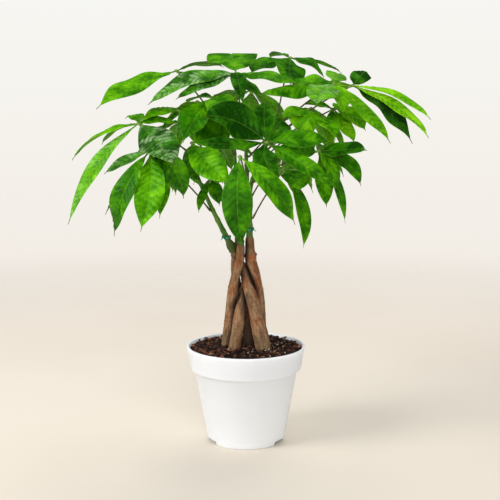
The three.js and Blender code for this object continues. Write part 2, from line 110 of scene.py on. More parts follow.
FAN = {
    "spread": 200,
    "stray": 8,
    "shortest": 0.66,
    "droop": (18, 46),
    "sag": 12,
    "width": 0.31,
    "arch": 0.09,
    "fold": 11,
}
AMBIENT = {"diffuse": 0.5, "glossy": 0.06, "colour": (0.92, 0.97, 1.06, 1)}
FLOOR = {"radius": 2.6, "sides": 96, "clear_at": 2.0, "solid_at": 0.5}
CAMERA = {"place": (0.0053, -1.2, 0.416), "down": 7.8, "sensor": 36, "focal": 934, "picture": 500}

# Each trunk runs up from its hole in the soil: x, y, z, radius.
TRUNKS = [
    [
        (-25, 2, 100, 7.6),
        (-25, 2, 126, 7.6),
        (-21.6, 0.6, 157, 7.2),
        (-19, -2, 181, 6.7),
        (-16.6, -7, 204, 6.2),
        (-12.6, -12, 223, 5.8),
        (-8, -12.6, 241, 5.5),
        (-6.5, -12.5, 260, 5.4),
    ],
    [
        (-15, -17, 100, 8.2),
        (-15, -17, 126, 8.1),
        (-11, -15, 148, 7.7),
        (-9, -13.4, 163, 7.3),
        (-6.2, -7.6, 181, 6.8),
        (-3.4, 2.4, 194, 6.4),
        (1.2, 7.6, 207, 6.2),
        (4.4, 11, 224, 6),
        (5.2, 10.5, 260, 5.8),
    ],
    [
        (22, -17, 100, 10.2),
        (22, -17, 126, 10.2),
        (18.6, -16, 146, 9.9),
        (14.2, -14.4, 163, 9.3),
        (10, -12.6, 181, 8.3),
        (6.2, -10.8, 194, 7.8),
        (2, -8, 207, 6.9),
        (-2.6, -1.6, 224, 6.4),
        (-16, 1.6, 249, 5.8),
    ],
    [
        (20, 17, 100, 8),
        (20, 17, 126, 8),
        (19, 10.5, 159, 7.6),
        (17.4, 5.6, 181, 7.2),
        (15.6, 1.6, 200, 6.7),
        (11.9, -6.2, 223, 6.3),
        (6.2, -7.4, 243, 6.6),
        (4.8, -6.9, 270, 5.6),
    ],
    [
        (3, 10, 100, 6.6),
        (3, 10, 126, 6.6),
        (0, 14, 159, 6.2),
        (-9, 15, 193, 5.8),
        (-14, 13, 220, 5.5),
        (-13.4, 15.5, 244, 5.3),
        (-10.5, 14, 260, 5.2),
    ],
]

# A green shoot grows from the top of each trunk: x, y, z, radius.
SHOOTS = [
    [
        (-6.5, -12.5, 260.8, 4.2),
        (-6.6, -12.3, 267, 3.8),
        (-7.5, -10, 282, 3.2),
        (-11, -3, 327, 2.6),
        (-14, 4, 369, 2.2),
        (-15, 6, 395, 1.9),
    ],
    [
        (5.4, 10.5, 260.9, 4.4),
        (5.2, 10.8, 268, 3.9),
        (5, 14, 287, 3.2),
        (6.5, 32, 332, 2.7),
        (22, 46, 375, 2.3),
        (36, 52, 401, 1.9),
    ],
    [
        (-16.6, 1.5, 250.9, 5.4),
        (-19.4, 0.6, 257, 6),
        (-23.6, -3, 266, 3.6),
        (-37.3, -9, 294, 2.8),
        (-51, -15, 324, 2.5),
        (-64, -16, 356, 2.2),
        (-70, -10, 383, 1.8),
    ],
    [
        (4.8, -6.9, 270.9, 4.3),
        (4.8, -7.4, 277, 3.8),
        (5, -9, 287, 3.3),
        (3, -11, 319, 2.9),
        (1, -11, 359, 2.5),
        (0, -6, 393, 2),
    ],
    [
        (-10.6, 14, 261.2, 4),
        (-10.8, 14.6, 267, 3.7),
        (-13, 22, 283, 3),
        (-25, 44, 327, 2.6),
        (-36, 62, 371, 2.2),
        (-40, 70, 397, 1.8),
    ],
]

# Where each garden tie's loop is, and the bearing of its knot in degrees.
TIES = {"left": ((-25.2, -3.6, 269), 250), "right": ((4.6, -8.7, 280), -60)}
TIE = {"radius": 5.65, "width": 3.2, "thickness": 0.8, "knot_width": 2.2}

# Each leaf: the hub of its leaflets, the shoot that it grows from with how far up that shoot, and its
# leaflets: the tip's x, y, z, the width, the midrib's arch and its bow to the side, the lean to the front,
# the degrees that each half rises, and a painted sheen, a painted reflection on the ridges, where there is
# one. The leaves at the back are fans:
# heading, count, reach, seed. Scratch scripts worked out many tips, arches and bows of the other leaves
# from points read off the photo by hand: see report.md.
LEAVES = [
    ((-89, 15, 481), (0, 0.95), [
        (-183, -45, 434, 47, 5, 1, 0.55, 8),
        (-30, 96, 492, 24, 6, 1, 0, 5),
        (-28, 10, 478, 28, -2, 3, 0.2, -35),
    ]),
    ((-12, -20, 476), (3, 0.97), [
        (-21, 95, 506, 66, 11, -1, 0, 0),
        (-119, -50, 439, 34, 10, 0, 0.7, 11, 0.55),
        (-83, -75, 445, 24, 0, 4, 0.5, 11, 0.25),
        (-3, -125, 437, 20, 9, 1, 0, 20),
        (22, -100, 447, 20, 0, 8, 0.5, 11),
        (64, -50, 463, 34, 2, -2, 0.3, 5),
    ]),
    ((59, 70, 501), (1, 0.97), [
        (32, 120, 505.1, 20, 5, -3, 0.4, 5),
        (6, 40, 481, 44, 4, 7, 0.6, 11),
        (58, 12, 465, 44, 0, 2, 0.6, 11),
        (104, 60, 477, 38, 4, 2, 0.6, 11),
        (132, 110, 485, 14, 3, 3, 0, 11),
    ]),
    ((108, -40, 462), (3, 0.88), [
        (54, -22, 466, 34, 1, 2, 0.5, 11),
        (17, -60, 451, 34, 2, 7, 0.2, -30),
        (81, -125, 437, 38, 0, 4, 0, 11, 0.35),
        (121, 50, 479, 28, 5, -1, 0, 0, 0.2),
        (173, -80, 393, 23, 1, -7, 0.9, 11),
        (117, -70, 428, 26, 4, 0, 0.6, 11),
    ]),
    ((136, 5, 462), (1, 0.88), [
        (159, 60, 484, 27, 4, 1, 0, -5),
        (224.8, -56, 421, 18, 9, -6, 0.6, 11),
        (220, -72, 399, 22, 6, -14, 0.8, 11),
        (212, -5, 391, 44, 8, -6, 0.7, 11),
        (99, 78, 453, 24, 6, 0, 0, 11),
    ]),
    ((-41, -40, 446), (0, 0.84), [
        (-75, -80, 393, 40, 2, 3, 0.9, 11),
        (-10, 30, 443, 26, 6, 4, 0, 11),
        (-16, -110, 409, 38, 10, 0, 0.3, 11),
        (-77, 20, 441, 24, 4, 0, 0, 11),
    ]),
    ((86, -44, 421), (3, 0.81), [
        (72, -78, 394, 52, 22, 6, 0.1, -15),
        (42, -94, 421, 22, 7, 3, 0.6, 11),
        (106, -95, 397, 28, 6, 0, 0.6, 11),
        (84, 8, 408, 26, 5, 0, 0, 11),
    ]),
    ((114, 20, 433), (1, 0.76), [
        (154, 10, 407, 34, 6, 0, 0.8, 11),
        (137, -20, 391, 23, 0, 0, 1, 11),
        (71, -16, 439, 26, 2, -1, 0.3, 11),
        (105, -30, 398, 14, 1, 2, 0.6, 11),
        (144, 105, 422, 30, 8, 0, 0, 11),
    ]),
    ((86, -95, 382), (3, 0.69), [
        (140, -120, 386, 32, 0, -4, 0.5, 8),
        (135, -110, 344, 22, 4, -20, 1, 11),
        (116, -120, 301, 12, 0, -11, 1.2, 11),
        (33, -60, 385, 40, -3, -1, 0.8, 11),
        (95, -110, 319, 23, -11, -11, 0.8, 11),
        (110, -85, 339, 24, 4, 1, 0.8, 11),
    ]),
    ((48, -30, 357), (3, 0.46), [
        (70, -75, 266, 18, -9, -21, 1.2, 11),
        (66, -80, 336, 36, 3, -3, 0.8, 11),
        (88, 36, 335, 16, 8, 0, 0, 11),
        (29, 36, 337, 24, 8, 0, 0, 11),
    ]),
    ((24, -132, 393), (3, 0.75), [
        (-45, -172, 423, 46, 7, 11, 1.4, 11),
        (-62, -142, 394, 26, -5, 8, 0.3, 3),
        (45, -64, 420, 36, 4, 0, 0.8, 11),
        (98, -122, 395, 30, 4, 3, 0.5, 11),
        (105, -142, 343, 22, 4, 9, 1, 11),
        (40, -146, 351, 30, 5, 14, 0.9, 11),
        (23, -70, 443, 26, 2, -2, 1, 11),
    ]),
    ((-6, -162, 378), (3, 0.62), [
        (-4, -168.3, 279, 35, 8, 4, 0.6, 11),
        (57, -142, 302, 27, 11, 13, 1.2, 11),
    ]),
    ((-134, -25, 414), (2, 0.97), [
        (-221.8, -5, 370, 26, 9, -9, 0.3, 11),
        (-221, -45, 292, 24, 12, 0, 0.9, 11, 0.2),
        (-84, 30, 428, 28, 9, 14, 0.9, -6),
        (-87, -20, 416, 22, 3, 0, 0.4, 11),
        (-159, 40, 423, 18, 3, 8, 0, 0),
        (-83, -120, 369, 46, -1, -3, 1.3, 4, 0.55),
        (-190, 35, 389, 18, 6, 0, 0, 11),
    ]),
    ((-116, -70, 381), (2, 0.56), [
        (-121, -130, 293, 38, -2, -6, 0.8, 11),
        (-102, -100, 305, 24, -10, -5, 0.8, 11),
        (-162, -60, 279, 32, 9, -28, 1.1, 11),
        (-180, -10, 301, 18, -1, -8, 1.1, 11, 0.3),
        (-176, -40, 354, 18, 2, 0, 0.9, 11, 0.35),
        (-76, -60, 325, 31, 15, 9, 1, 11),
    ]),
    ((-65, -60, 391), (0, 0.56), [
        (-18, -130, 346, 38, 2, 4, 1.2, 11),
        (-16, -45, 410, 52, 0, -2, 0.8, 11),
        (-57, -30, 344, 30, -1, -5, 0.8, 11),
    ]),
    ((-43, -40, 347), (2, 0.72), [
        (-58, -60, 308, 12, -2, 5, 0.8, 11),
        (-32, -52, 315, 18, 4, 0, 0.8, 11),
        (-28, -44, 343, 18, 3, 0, 0.8, 11),
    ]),
    ((-67, 96, 444), (4, 0.96), (112, 5, 77, 11)),
    ((6, 117, 459), (1, 0.99), (92, 5, 93.8, 12)),
    ((90, 108, 435), (1, 0.8), (48, 5, 88, 13)),
    ((-92, 78, 417), (4, 0.82), (145, 5, 85, 14)),
    ((95, 88, 389), (1, 0.64), (60, 5, 70, 15)),
    ((-38, 106, 389), (4, 0.68), (128, 5, 88, 16)),
    ((50, 114, 369), (1, 0.54), (68, 5, 80, 17)),
    ((-86, 62, 351), (4, 0.5), (160, 5, 66, 18)),
]

# Each leaf's green from 0, deep, to 1, bright, how far its leaflets stray from it, and the leaflets that
# are deeper than the rest of their leaf, as (leaf, leaflet).
TONES = [0.3, 0.35, 0.4, 0.5, 0.75, 0.25, 0.45, 0.6, 0.45, 0.5, 0.2, 0.3, 0.5, 0.4, 0.5, 0.5]
TONES += [0.45] * 8
TONE_STRAY = 0.15
DEEP_LEAFLETS = {(5, 1), (5, 4), (9, 1), (13, 6)}
DEEP_TONE = 0.12

# ------------------------ small tools


def unit(v):
    v = np.asarray(v, float)
    return v / np.linalg.norm(v, axis=-1, keepdims=True)


def ease(low, high, x):
    """0 below low, 1 above high and smooth between; high may be the lower one."""
    t = np.clip((x - low) / (high - low), 0, 1)
    return t * t * (3 - 2 * t)


def around(count):
    """Evenly spaced bearings round a circle, in radians."""
    return np.linspace(0, 2 * math.pi, count, endpoint=False)


def bell(x, width):
    """A smooth rise to 1 at x = 0, gone by about twice the width."""
    return np.exp(-((x / width) ** 2))


def spline(rows, t):
    """The smooth curve through the rows at the fractions t: its points, and the rows' last column."""
    rows = np.array(rows, float)
    place = np.clip(t, 0, 1) * (len(rows) - 1)
    i = np.minimum(place.astype(int), len(rows) - 2)
    w = (place - i)[:, None]
    p = np.vstack([2 * rows[0] - rows[1], rows, 2 * rows[-1] - rows[-2]])[:, :3]
    a, b, c, d = (p[i + k] for k in range(4))
    m, n = (c - a) / 2, (d - b) / 2
    points = b + m * w + (3 * (c - b) - 2 * m - n) * w**2 + (2 * (b - c) + m + n) * w**3
    return points, rows[i, 3] * (1 - w[:, 0]) + rows[i + 1, 3] * w[:, 0]


def bezier(a, b, c, t):
    t = t[:, None]
    return (1 - t) ** 2 * a + 2 * (1 - t) * t * b + t * t * c


def length_of(points):
    return np.concatenate([[0], np.cumsum(np.linalg.norm(np.diff(points, axis=0), axis=1))])


def loft(centres, side, across, over):
    """Rings round a line of centres. side is a direction that the line never follows; across and over are
    each ring point's distances along it and square to it."""
    along = unit(np.gradient(centres, axis=0))
    u = unit(side - (along @ side)[:, None] * along)
    v = np.cross(along, u)
    return centres[:, None] + across[..., None] * u[:, None] + over[..., None] * v[:, None]


def closed_faces(rows, n, first=0):
    """The faces of a closed surface through rings of n points, with a face over each end."""
    i, j = np.meshgrid(np.arange(rows - 1), np.arange(n), indexing="ij")
    a, b = first + i * n + j, first + i * n + (j + 1) % n
    quads = np.stack([a, b, b + n, a + n], -1).reshape(-1, 4).tolist()
    last = first + (rows - 1) * n
    return quads + [list(range(first + n - 1, first - 1, -1)), list(range(last, last + n))]


class Shape:
    """Closed surfaces gathered into one mesh, with named values at their points."""

    def __init__(self):
        self.points, self.faces, self.values, self.count = [], [], {}, 0

    def add(self, rings, **values):
        """rings is an array of rings of points; each value is an array of one number, or three, a point."""
        rows, n, _ = rings.shape
        self.faces += closed_faces(rows, n, self.count)
        self.points.append(rings.reshape(-1, 3))
        self.count += rows * n
        for name, value in values.items():
            value = np.asarray(value, float)
            wide = (3,) if value.ndim == 3 else ()
            spread = np.broadcast_to(value, (rows, n) + wide).reshape((-1,) + wide)
            self.values.setdefault(name, []).append(spread)

    def piece(self, name, material, slot, replaces=(), crease=40):
        mesh = bpy.data.meshes.new(name)
        mesh.from_pydata((np.concatenate(self.points) * MM).tolist(), [], self.faces)
        for key, parts in self.values.items():
            data = np.concatenate(parts)
            kind, field = ("FLOAT_VECTOR", "vector") if data.ndim == 2 else ("FLOAT", "value")
            layer = mesh.attributes.new(key, kind, "POINT")
            layer.data.foreach_set(field, data.astype(np.float32).ravel())
        return finished(bpy.data.objects.new(name, mesh), material, replaces, crease)


def finished(piece, material, replaces, crease):
    """Shades a piece, gives it its material and its place in the frame."""
    mesh = piece.data
    mesh.polygons.foreach_set("use_smooth", [True] * len(mesh.polygons))
    mesh.set_sharp_from_angle(angle=math.radians(crease))
    mesh.materials.clear()
    mesh.materials.append(material)
    mesh.update()
    if piece.name not in bpy.context.scene.collection.objects:
        bpy.context.scene.collection.objects.link(piece)
    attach(piece, "root")
    if replaces:
        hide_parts(*replaces)
    return piece


def srgb(red, green, blue):
    """A colour read as 0 to 255 on the screen, as the shader's linear numbers."""
    channels = [c / 255 for c in (red, green, blue)]
    return (*[c / 12.92 if c <= 0.04045 else ((c + 0.055) / 1.055) ** 2.4 for c in channels], 1)


class Look:
    """A material, with short ways of adding nodes to it."""

    def __init__(self, name, **sockets):
        self.material = bpy.data.materials.new(name)
        self.material.use_nodes = True
        self.tree = self.material.node_tree
        self.shader = self.tree.nodes["Principled BSDF"]
        for key, value in sockets.items():
            self.shader.inputs[key.replace("_", " ")].default_value = value

    def feed(self, socket, value):
        if isinstance(value, bpy.types.NodeSocket):
            self.tree.links.new(value, socket)
        else:
            socket.default_value = value

    def add(self, kind, inputs, **settings):
        node = self.tree.nodes.new("ShaderNode" + kind)
        for key, value in settings.items():
            setattr(node, key, value)
        for key, value in inputs.items():
            self.feed(node.inputs[key], value)
        return node

    def value(self, name):
        return self.add("Attribute", {}, attribute_name=name).outputs["Fac"]

    def vector(self, name):
        return self.add("Attribute", {}, attribute_name=name).outputs["Vector"]

    def place(self):
        return self.add("TexCoord", {}).outputs["Object"]

    def maths(self, operation, *numbers):
        return self.add("Math", dict(enumerate(numbers)), operation=operation).outputs[0]

    def fade(self, value, low, high, to_low=0.0, to_high=1.0):
        numbers = {"Value": value, "From Min": low, "From Max": high, "To Min": to_low, "To Max": to_high}
        return self.add("MapRange", numbers, interpolation_type="SMOOTHSTEP").outputs[0]

    def noise(self, vector, scale, detail=3.0, roughness=0.5, stretch=None):
        if stretch:
            vector = self.add("VectorMath", {0: vector, 1: stretch}, operation="MULTIPLY").outputs[0]
        numbers = {"Vector": vector, "Scale": scale, "Detail": detail, "Roughness": roughness}
        return self.add("TexNoise", numbers).outputs["Fac"]

    def mix(self, factor, a, b, blend="MIX"):
        node = self.add("Mix", {}, data_type="RGBA", blend_type=blend)
        for socket, value in zip((node.inputs[0], node.inputs[6], node.inputs[7]), (factor, a, b)):
            self.feed(socket, value)
        return node.outputs[2]

    def ramp(self, factor, stops):
        node = self.add("ValToRGB", {"Fac": factor})
        elements = node.color_ramp.elements
        while len(elements) < len(stops):
            elements.new(0.5)
        for element, (position, colour) in zip(elements, stops):
            element.position = position
            element.color = colour
        return node.outputs["Color"]

    def finish(self, colour, roughness=None, heights=()):
        """heights are pairs of a height and how far in millimetres it stands out."""
        self.feed(self.shader.inputs["Base Color"], colour)
        if roughness is not None:
            self.feed(self.shader.inputs["Roughness"], roughness)
        normal = None
        for height, distance in heights:
            bump = self.add("Bump", {"Height": height, "Strength": 1.0, "Distance": distance * MM})
            if normal:
                self.feed(bump.inputs["Normal"], normal)
            normal = bump.outputs["Normal"]
        if normal:
            self.feed(self.shader.inputs["Normal"], normal)
        return self.material


# ------------------------ materials


def leaf_look():
    look = Look("leaf", Specular_IOR_Level=0.2, Specular_Tint=(0.5, 1, 0.3, 1))
    place = look.place()
    blotch = look.noise(place, 45, 3)
    mottle = look.noise(place, 130, 4, 0.6)
    tone = look.maths("ADD", look.value("tone"), look.fade(blotch, 0.3, 0.7, -0.2, 0.2))
    tone = look.maths("ADD", tone, look.fade(mottle, 0.3, 0.7, -0.1, 0.1))
    green = look.ramp(
        tone,
        [
            (0.0, srgb(12, 64, 0)),
            (0.3, srgb(46, 114, 0)),
            (0.65, srgb(96, 170, 0)),
            (1.0, srgb(148, 212, 20)),
        ],
    )
    under = look.mix(0.35, green, srgb(96, 160, 16))
    green = look.mix(look.value("top"), under, green)
    wander = look.fade(look.noise(place, 60, 2), 0.2, 0.8, -0.35, 0.35)
    wave = look.maths("PINGPONG", look.maths("ADD", look.value("vein"), wander), 0.5)
    # Painted shade: the furrows along the side veins are darkened as if in shade, less so on bright
    # leaflets.
    furrow_shade = look.fade(wave, 0.25, 0.0, 0.0, 0.36)
    furrow_shade = look.maths("MULTIPLY", furrow_shade, look.fade(tone, 0.45, 0.8, 1.0, 0.25))
    green = look.mix(furrow_shade, green, srgb(120, 165, 80), "MULTIPLY")
    # Painted sheen: a pale silvery wash in patches on the ridges between the side veins stands in for the
    # glossy reflection of bright light; sheen sets how much each leaflet gets.
    sheen_patches = look.fade(look.noise(place, 55, 4, 0.6), 0.44, 0.62, 0.05, 1.0)
    ridge_sheen = look.maths("MULTIPLY", look.fade(wave, 0.05, 0.4, 0.35, 1.0), look.value("sheen"))
    green = look.mix(look.maths("MULTIPLY", ridge_sheen, sheen_patches), green, srgb(176, 212, 146))
    vein = look.fade(wave, 0.05, 0.0, 0.0, 0.1)
    green = look.mix(vein, green, srgb(128, 176, 40))
    rib = look.fade(look.value("rib"), 0.6, 0.2, 0.0, 0.24)
    green = look.mix(rib, green, srgb(140, 184, 56))
    margin = look.fade(look.value("across"), 0.95, 1.0, 0.0, 0.3)
    green = look.mix(margin, green, srgb(140, 184, 50))
    tip = look.fade(look.value("along"), 0.955, 0.985, 0.0, 0.85)
    green = look.mix(tip, green, srgb(96, 66, 30))
    roughness = look.fade(look.noise(place, 120, 2), 0.3, 0.7, 0.34, 0.46)
    return look.finish(green, roughness, [(look.fade(wave, 0.0, 0.3), 0.15)])


def stalk_look():
    look = Look("leaf_stalk", Specular_IOR_Level=0.4)
    streaks = look.noise(look.place(), 260, 3)
    colour = look.ramp(
        look.maths("ADD", look.value("tone"), look.fade(streaks, 0.3, 0.7, -0.25, 0.25)),
        [(0.0, srgb(66, 58, 34)), (0.5, srgb(84, 92, 36)), (1.0, srgb(122, 160, 58))],
    )
    return look.finish(colour, 0.5, [(streaks, 0.1)])


def shoot_look():
    look = Look("shoot", Specular_IOR_Level=0.4)
    grain = look.vector("grain")
    streaks = look.noise(grain, 900, 4, 0.6, (1, 1, 0.12))
    patches = look.noise(grain, 120, 3, 0.5, (1, 1, 0.5))
    colour = look.ramp(
        patches,
        [
            (0.3, srgb(52, 104, 14)),
            (0.5, srgb(74, 132, 22)),
            (0.7, srgb(96, 130, 36)),
            (0.85, srgb(104, 96, 50)),
        ],
    )
    age = look.fade(look.value("height"), 284, 254, 0.0, 0.75)
    colour = look.mix(age, colour, srgb(66, 68, 30))
    colour = look.mix(look.fade(streaks, 0.52, 0.66, 0.0, 0.5), colour, srgb(38, 62, 14))
    return look.finish(colour, look.fade(streaks, 0.3, 0.7, 0.42, 0.6), [(streaks, 0.25)])


def bark_look():
    look = Look("bark", Specular_IOR_Level=0.3)
    grain = look.vector("grain")
    patches = look.noise(grain, 75, 4, 0.55, (1, 1, 0.45))
    colour = look.ramp(
        patches,
        [
            (0.3, srgb(92, 70, 50)),
            (0.42, srgb(132, 97, 65)),
            (0.5, srgb(162, 124, 88)),
            (0.6, srgb(144, 86, 48)),
            (0.74, srgb(112, 78, 50)),
        ],
    )
    lichen = look.fade(look.noise(grain, 130, 4, 0.6, (1, 1, 0.5)), 0.56, 0.7, 0.0, 0.6)
    colour = look.mix(lichen, colour, srgb(166, 146, 104))
    low = look.fade(look.value("height"), 160, 124, 0.0, 0.4)
    colour = look.mix(low, colour, srgb(116, 100, 68))
    fissures = look.noise(grain, 560, 6, 0.65, (1, 1, 0.16))
    dark = look.fade(fissures, 0.5, 0.34, 0.0, 0.6)
    colour = look.mix(dark, colour, srgb(58, 38, 26))
    pale = look.fade(fissures, 0.56, 0.7, 0.0, 0.45)
    colour = look.mix(pale, colour, srgb(200, 164, 116))
    rings = look.noise(grain, 520, 3, 0.55, (0.16, 0.16, 1))
    colour = look.mix(look.fade(rings, 0.46, 0.32, 0.0, 0.35), colour, srgb(74, 48, 34))
    specks = look.noise(grain, 1300, 3, 0.6, (1, 1, 1.6))
    colour = look.mix(look.fade(specks, 0.58, 0.68, 0.0, 0.5), colour, srgb(64, 44, 30))
    green = look.fade(look.value("height"), 240, 264, 0.0, 0.3)
    colour = look.mix(green, colour, srgb(96, 92, 46))
    colour = look.mix(look.value("ring"), colour, srgb(168, 84, 44))
    # Painted shade: the bark goes near black where another trunk is close and in the middle of the braid low
    # down, where shade falls between the trunks.
    crevice_shade = look.fade(look.value("room"), 8.5, 1.2, 0.0, 0.95)
    crevice_shade = look.maths("MAXIMUM", crevice_shade, look.value("inner"))
    colour = look.mix(crevice_shade, colour, srgb(34, 18, 10))
    return look.finish(
        colour,
        look.fade(fissures, 0.3, 0.7, 0.85, 0.65),
        [(fissures, 0.8), (rings, 0.7), (specks, 0.25)],
    )


def chip_look(name, stops):
    look = Look(name, Specular_IOR_Level=0.35)
    place = look.place()
    grain = look.noise(place, 700, 4, 0.6, (1, 0.35, 1))
    tone = look.maths("ADD", look.value("tone"), look.fade(grain, 0.3, 0.7, -0.16, 0.16))
    return look.finish(look.ramp(tone, stops), look.fade(grain, 0.3, 0.7, 0.55, 0.85), [(grain, 0.5)])


def soil_look():
    look = Look("soil_mix", Specular_IOR_Level=0.25)
    place = look.place()
    crumbs = look.noise(place, 420, 5, 0.65)
    colour = look.ramp(crumbs, [(0.35, srgb(18, 10, 6)), (0.55, srgb(40, 24, 16)), (0.7, srgb(70, 44, 30))])
    return look.finish(colour, 0.9, [(crumbs, 1.2)])


def pot_look():
    look = Look("pot", Specular_IOR_Level=0.4, Subsurface_Weight=0.6, Subsurface_Scale=0.008)
    look.shader.inputs["Subsurface Radius"].default_value = (1, 1, 1)
    place = look.place()
    mottle = look.noise(place, 14, 3)
    colour = look.mix(look.fade(mottle, 0.35, 0.65), srgb(245, 249, 255), srgb(248, 252, 255))
    scuff = look.noise(place, 90, 5, 0.7, (1, 1, 3))
    colour = look.mix(look.fade(scuff, 0.66, 0.78, 0.0, 0.2), colour, srgb(234, 234, 234))
    grain = look.noise(place, 1800, 2)
    return look.finish(colour, look.fade(scuff, 0.35, 0.7, 0.4, 0.5), [(grain, 0.03)])


def tie_look():
    look = Look("tie", Specular_IOR_Level=0.5)
    ribs = look.noise(look.place(), 800, 2, 0.5, (1, 1, 3))
    colour = look.mix(look.fade(ribs, 0.4, 0.65), srgb(16, 104, 66), srgb(52, 158, 112))
    return look.finish(colour, 0.4, [(ribs, 0.15)])


# ------------------------ pot


def arc(centre, radius, start, stop, steps=6):
    """Points (radius, height) round a centre in a turned outline, from one bearing to another in degrees."""
    bearings = np.radians(np.linspace(start, stop, steps))
    x, y = centre
    return [(x + radius * math.cos(b), y + radius * math.sin(b)) for b in bearings]


def turned(outline, sides):
    """Rings of an outline that starts and ends near the axis, turned round it."""
    outline = np.array(outline, float)
    angle = around(sides)
    ring = np.stack([np.cos(angle), np.sin(angle)], -1)
    flat = outline[:, None, :1] * ring
    return np.concatenate([flat, np.broadcast_to(outline[:, None, 1:], (len(outline), sides, 1))], -1)


def pot_outline():
    e, wall, top = POT["rounding"], POT["wall"], POT["height"]
    band = top - POT["band_height"]
    ring = POT["foot"] - POT["foot_ring"]
    lip = POT["rim"] - POT["lip"]
    return [
        (0.5, POT["floor_under"]),
        (ring, POT["floor_under"]),
        (ring, 0.3),
        (ring + 0.3, 0),
        *arc((POT["foot"] - e, e), e, -90, -10),
        (POT["shoulder"], band - e),
        (POT["shoulder"] + 0.5, band - 0.4),
        *arc((POT["band_foot"] - 1.6, band + 1.4), 1.6, -85, -8),
        (POT["rim"] - 1.3, top - 5),
        *arc((POT["rim"] - 1.5, top - 1.5), 1.5, -20, 90, 8),
        *arc((lip + 0.2, top - 1), 1, 90, 175),
        (POT["band_foot"] - wall, band + 2 * e),
        (POT["shoulder"] - wall, band + e),
        (POT["floor"] + POT["floor_fillet"], POT["floor_top"] + POT["floor_fillet"]),
        (POT["floor"], POT["floor_top"]),
        (0.5, POT["floor_top"]),
    ]


def cut(piece, cutter):
    """Takes the cutter out of the piece and leaves a plain mesh."""
    bpy.context.scene.collection.objects.link(cutter)
    bpy.context.scene.collection.objects.link(piece)
    step = piece.modifiers.new("cut", "BOOLEAN")
    step.operation, step.object, step.solver = "DIFFERENCE", cutter, "EXACT"
    bpy.context.view_layer.update()
    made = bpy.data.meshes.new_from_object(piece.evaluated_get(bpy.context.evaluated_depsgraph_get()))
    piece.modifiers.clear()
    piece.data = made
    bpy.data.objects.remove(cutter)


def pot():
    shell = Shape()
    shell.add(turned(pot_outline(), POT["sides"]))
    mesh = bpy.data.meshes.new("pot_shell")
    mesh.from_pydata((shell.points[0] * MM).tolist(), [], shell.faces)
    piece = bpy.data.objects.new("pot_shell", mesh)

    cutters = Shape()
    for bearing in np.radians(NOTCH["bearings"]):
        out = np.array([math.cos(bearing), math.sin(bearing), 0])
        side = np.array([-out[1], out[0], 0])
        centres = POT["foot"] * out + np.outer([-9, 9], out)
        across = 0.5 * NOTCH["width"] * np.array([-1, 1, 0.94, -0.94])
        over = np.array([-NOTCH["height"], -NOTCH["height"], NOTCH["height"], NOTCH["height"]])
        cutters.add(centres[:, None] + across[:, None] * side + over[:, None] * UP)
    for k in range(DRAIN["count"]):
        bearing = (k + 0.5) / DRAIN["count"] * 2 * math.pi
        foot = DRAIN["orbit"] * np.array([math.cos(bearing), math.sin(bearing), 0])
        angle = around(DRAIN["sides"])
        ring = DRAIN["radius"] * np.stack([np.cos(angle), np.sin(angle)], -1)
        cutters.add(loft(foot + np.outer([-1, 14], UP), np.array([1.0, 0, 0]), ring[:, 0], ring[:, 1]))
    tools = bpy.data.meshes.new("pot_cutters")
    tools.from_pydata((np.concatenate(cutters.points) * MM).tolist(), [], cutters.faces)
    cut(piece, bpy.data.objects.new("pot_cutters", tools))
    finished(piece, pot_look(), ["pot"], 32)


# ------------------------ soil


def soil_top(r):
    return SOIL["edge"] + SOIL["mound"] * (1 - (r / POT["rim"]) ** 2)


def soil():
    """The potting mix fills the pot; its surface is crumbly and rises a little to the middle."""
    rng = np.random.default_rng(5)
    clear, wall, fillet = SOIL["clear"], POT["wall"], POT["floor_fillet"]
    band = POT["height"] - POT["band_height"]
    edge = POT["rim"] - SOIL["rim_gap"]
    reach = np.linspace(edge, 0.6, SOIL["rings"])
    outline = [
        (0.6, POT["floor_top"] + clear),
        (POT["floor"] - clear, POT["floor_top"] + clear),
        (POT["floor"] + fillet - clear, POT["floor_top"] + fillet + clear),
        (POT["shoulder"] - wall - clear, band + 1 + clear),
        (POT["band_foot"] - wall - clear, band + 2 + clear),
        *[(r, soil_top(r)) for r in reach],
    ]
    rings = turned(outline, SOIL["sides"])
    x, y = rings[-len(reach) :, :, 0], rings[-len(reach) :, :, 1]
    rough = np.zeros_like(x)
    for size, depth in CRUMBS:
        for _ in range(4):
            way, phase = rng.uniform(0, 2 * math.pi, 2)
            along = x * math.cos(way) + y * math.sin(way)
            rough += 0.5 * depth * np.sin(along * 2 * math.pi / size + phase)
    rings[-len(reach) :, :, 2] += rough * ease(0, 6, edge - np.hypot(x, y)) - SOIL["sunk"]
    mix = Shape()
    mix.add(rings)
    mix.piece("soil_mix", soil_look(), "soil", ["soil"])


def shard(rng, length, width, height):
    """A flat, broken piece of bark lying along X: rings of a seven-cornered outline."""
    corners = 7
    angle = np.sort(rng.uniform(-0.3, 0.3, corners) + np.arange(corners) * 2 * math.pi / corners)
    reach = rng.uniform(0.75, 1.1, corners)
    outline = np.stack([0.5 * length * reach * np.cos(angle), 0.5 * width * reach * np.sin(angle)], -1)
    levels = np.array([-0.5, -0.28, 0.26, 0.5]) * height
    shares = np.array([0.72, 1.0, 0.96, 0.66])
    rings = np.zeros((4, corners, 3))
    rings[..., :2] = outline * shares[:, None, None]
    rings[..., 2] = levels[:, None]
    return rings + rng.normal(0, 0.035 * length * 0.5, rings.shape)


